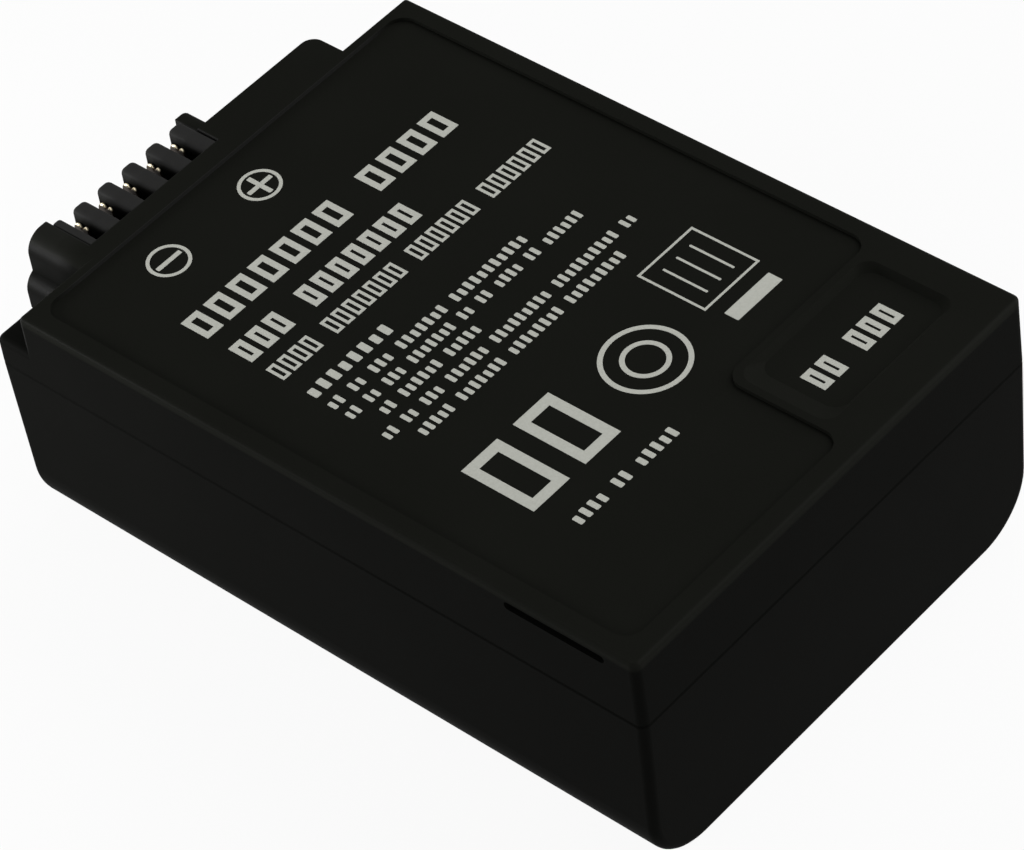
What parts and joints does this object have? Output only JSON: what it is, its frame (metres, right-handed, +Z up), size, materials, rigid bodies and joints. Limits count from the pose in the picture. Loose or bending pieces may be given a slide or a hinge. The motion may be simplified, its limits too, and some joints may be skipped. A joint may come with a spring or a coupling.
{
  "type": "camera battery",
  "caption": "Flat rechargeable camera battery in a black two part case, with a comb of forked terminals at one end, corner notches and a latch slot.",
  "frame": {"origin": "middle of the bounding box at the bottom face", "axes": "+Z up out of the printed face, -X towards the contact end, -Y towards the side with the latch slot"},
  "size_m": [0.0514, 0.034, 0.018],
  "materials": {
    "case_plastic": "fine satin, near black",
    "cover_plastic": "fine satin, near black, with pale printing",
    "print_ink": "pale printing ink",
    "gold_plate": "gold plated, bright",
    "board_laminate": "green solder resist",
    "chip_resin": "moulded resin",
    "part_ceramic": "fired ceramic",
    "cell_can": "drawn can, satin",
    "card": "insulating card",
    "nickel_strip": "nickel strip",
    "foam": "adhesive foam"
  },
  "bodies": {
    "root": {"lower_case": "case_plastic", "top_cover": "cover_plastic", "terminal_1": "gold_plate", "terminal_2": "gold_plate", "terminal_3": "gold_plate", "terminal_4": "gold_plate", "terminal_5": "gold_plate", "circuit_board": "board_laminate", "protection_chip": "chip_resin", "transistor_1": "chip_resin", "transistor_2": "chip_resin", "sense_resistor": "chip_resin", "capacitor_1": "part_ceramic", "capacitor_2": "part_ceramic", "thermistor": "part_ceramic", "cell_lower": "cell_can", "cell_upper": "cell_can", "end_card": "card", "link_strip": "nickel_strip", "negative_strip": "nickel_strip", "positive_strip": "nickel_strip", "cell_tape": "foam", "floor_pad": "foam", "roof_pad": "foam"}
  },
  "joints": []
}
